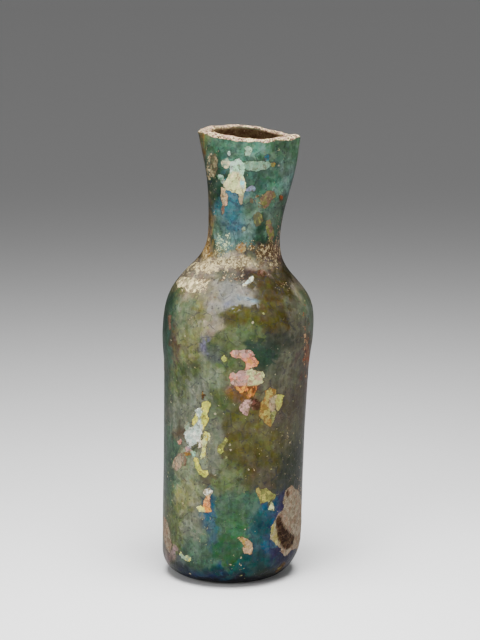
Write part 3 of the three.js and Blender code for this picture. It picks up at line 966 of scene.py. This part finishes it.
pits = product(
    ramp(cells(PIT_SIZE, (3, 3, 3)), 0.16, 0.26, 1, 0), ramp(cloud(4, 1, (5, 0, 5)), 0.46, 0.58))
fissures = product(
    gaps(FISSURE_SIZE, (8, 2, 1), FISSURE_WIDTH), ramp(cloud(2.2, 2, (15, 5, 5)), 0.5, 0.56))
pits = calc("MAXIMUM", pits, fissures)
film_colour = mixed(product(pits, PIT_DARKNESS), film_colour, colour("ink"))

# Small flecks: some cells of a fine pattern carry a scrap of crust of a colour of their own.
FLECK_SIZE = 1.2
FLECK_PLACE = (7, 1, 4)
FLECKLESS_SHARE = 0.972
FLECK_COVER = 0.7

fleck_pick, fleck_kind = cell_numbers(FLECK_SIZE, FLECK_PLACE)[:2]
fleck_round = calc("ADD", cells(FLECK_SIZE, FLECK_PLACE), swing(cloud(0.4, 3), 1.2))
flecks = product(
    ramp(fleck_round, 0.24, 0.3, 1, 0), calc("GREATER_THAN", fleck_pick, FLECKLESS_SHARE),
    ramp(cloud(9, 2, (9, 9, 0)), 0.46, 0.52))
fleck_colour = mixed(calc("GREATER_THAN", fleck_kind, 0.4), colour("sand"), colour("khaki"))
fleck_colour = mixed(calc("GREATER_THAN", fleck_kind, 0.7), fleck_colour, colour("umber"))
film_colour = mixed(product(flecks, FLECK_COVER), film_colour, fleck_colour)

# Grains of crust and soil: pale fragments among darker ones.
CRUST_GAMMA = 1.3
GRIT_COVER = 0.9
GRAIN_SIZE = 0.8


def crust(tone):
    """A crust's tone at the depth that it has on the flask."""
    return add("ShaderNodeGamma", {"Color": tone, "Gamma": CRUST_GAMMA})


grain = weighed(cloud(0.5, 4, (2, 2, 9)), 0.5, cloud(1.9, 4), 0.5)
grit_mask = ramp(calc("ADD", grain, product(kept_number("grit"), 0.4)), 0.64, 0.68)
grain_pick = cell_numbers(GRAIN_SIZE, (1, 8, 2))[0]
grit_tones = kept_colour("grit_tone")
pale = mixed(0.55, colour("cream"), grit_tones)
dark = mixed(0.35, colour("umber"), grit_tones)
grit_colour = mixed(ramp(grain_pick, 0.3, 0.36), dark, grit_tones)
grit_colour = mixed(ramp(grain_pick, 0.66, 0.7), grit_colour, pale)
grit_colour = mixed(ramp(cloud(0.5, 3, (6, 4, 4)), 0.55, 0.6), grit_colour, dark)
grit_colour = mixed(ramp(cloud(0.6, 3, (4, 4, 4)), 0.57, 0.62), grit_colour, pale)
grit_colour = crust(grit_colour)

# The crust's leaves: two colours in small angular scraps, dark cracks, a border that breaks along them, and a
# painted shadow just outside that border.
CHIP_SIZE = 1.0
CHIP_PLACE = (2, 5, 1)
CRACK_SIZE = 1.6
CRACK_WIDTH = 0.11
CRACK_DARKNESS = 0.75
SPECK_DARKNESS = 0.5
LEAF_SATURATION = 0.98
RIM_DARKNESS = 0.6

chips, chip_value, chip_hue = cell_numbers(CHIP_SIZE, CHIP_PLACE)
fray = calc("ADD", swing(cloud(0.7, 4, (1, 0, 0)), 0.9), swing(chips, 0.25))
leaf_edge = calc("ADD", kept_number("leaf_inside"), fray)
leaf_mask = ramp(leaf_edge, -0.03, 0.03)
second_share = weighed(chips, 0.3, cloud(2.2, 4, (0, 8, 0), (1, 1, 0.6)), 1.0)
leaf_colour = mixed(ramp(second_share, 0.5, 0.74), kept_colour("leaf_first"), kept_colour("leaf_second"))
leaf_value = product(
    ramp(chip_value, 0, 1, 0.74, 1.16), ramp(cloud(0.35, 3, (3, 0, 1)), 0.3, 0.7, 0.82, 1.16))
leaf_colour = add("ShaderNodeHueSaturation", {
    "Hue": ramp(chip_hue, 0, 1, 0.485, 0.515), "Saturation": LEAF_SATURATION, "Value": leaf_value,
    "Color": crust(leaf_colour)})
cracks = product(gaps(CRACK_SIZE, CHIP_PLACE, CRACK_WIDTH), ramp(cloud(1.6, 2, (5, 5, 5)), 0.48, 0.56))
leaf_colour = mixed(product(cracks, CRACK_DARKNESS), leaf_colour, colour("umber"))
specks = ramp(cloud(0.45, 2, (12, 5, 5)), 0.64, 0.68)
leaf_colour = mixed(product(specks, SPECK_DARKNESS), leaf_colour, colour("umber"))
# A painted shadow rings each leaf just outside its border.
rim_shade = product(ramp(leaf_edge, -0.4, -0.05), ramp(cloud(1.5, 2, (5, 9, 5)), 0.4, 0.6))

# The lip's crust is a cream band, and the wall inside the mouth is brown with soil.
lip_colour = mixed(ramp(cloud(0.9, 3, (0, 3, 3)), 0.4, 0.6), colour("cream"), colour("rosy"))
lip_colour = mixed(ramp(cloud(0.5, 3, (7, 3, 3)), 0.5, 0.55), lip_colour, colour("earth"))
lip_mask = ramp(calc("ADD", kept_number("lip_crust"), swing(grain, 1.5)), 0.45, 0.6)
inside_colour = mixed(ramp(cloud(1.4, 4), 0.4, 0.6), colour("umber"), colour("earth"))
inside_colour = mixed(ramp(cloud(0.6, 3, (1, 1, 6)), 0.6, 0.68), inside_colour, colour("clay"))
inside_mask = kept_number("inside_wall")

# All of it in the order in which it lies on the glass, with the finish and the finest relief, in mm.
FILM_ROUGHNESS = (0.3, 0.45)
CRUST_ROUGHNESS = 0.62
SHINE = 0.03
LEAF_BUMP = 0.07
GRIT_BUMP = 0.10
CRACK_BUMP = 0.08
FILM_GRAIN_BUMP = 0.03
CRUST_GRAIN_BUMP = 0.07
MOTTLE_BUMP = 0.05
PIT_BUMP = 0.05
BUMP_STRENGTH = 0.8

# First the painted shadow round the leaves, in dark bark, over the film.
surface = mixed(product(rim_shade, RIM_DARKNESS), film_colour, colour("bark"))
surface = mixed(product(grit_mask, GRIT_COVER), surface, grit_colour)
surface = mixed(leaf_mask, surface, leaf_colour)
surface = mixed(lip_mask, surface, crust(lip_colour))
surface = mixed(inside_mask, surface, crust(inside_colour))
crusted = calc("MAXIMUM", calc("MAXIMUM", leaf_mask, grit_mask), calc("MAXIMUM", lip_mask, inside_mask))
put(shader.inputs["Base Color"], surface)
put(shader.inputs["Roughness"], between(crusted, ramp(mottle, 0.3, 0.7, *FILM_ROUGHNESS), CRUST_ROUGHNESS))
shader.inputs["Specular IOR Level"].default_value = SHINE

fine_grain = product(cloud(0.4, 3, (1, 2, 3)), between(crusted, FILM_GRAIN_BUMP, CRUST_GRAIN_BUMP))
bumps = weighed(leaf_mask, LEAF_BUMP, grit_mask, GRIT_BUMP)
bumps = calc("SUBTRACT", bumps, product(cracks, leaf_mask, CRACK_BUMP))
bumps = calc("ADD", bumps, fine_grain)
bumps = calc("ADD", bumps, product(mottle, MOTTLE_BUMP))
bumps = calc("SUBTRACT", bumps, product(pits, PIT_BUMP))
bump = add("ShaderNodeBump", {"Strength": BUMP_STRENGTH, "Distance": MM, "Height": bumps})
put(shader.inputs["Normal"], bump)

flask_mesh.materials.append(glass)
flask = bpy.data.objects.new("flask_glass", flask_mesh)
bpy.context.collection.objects.link(flask)
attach(flask, "root")
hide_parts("flask")
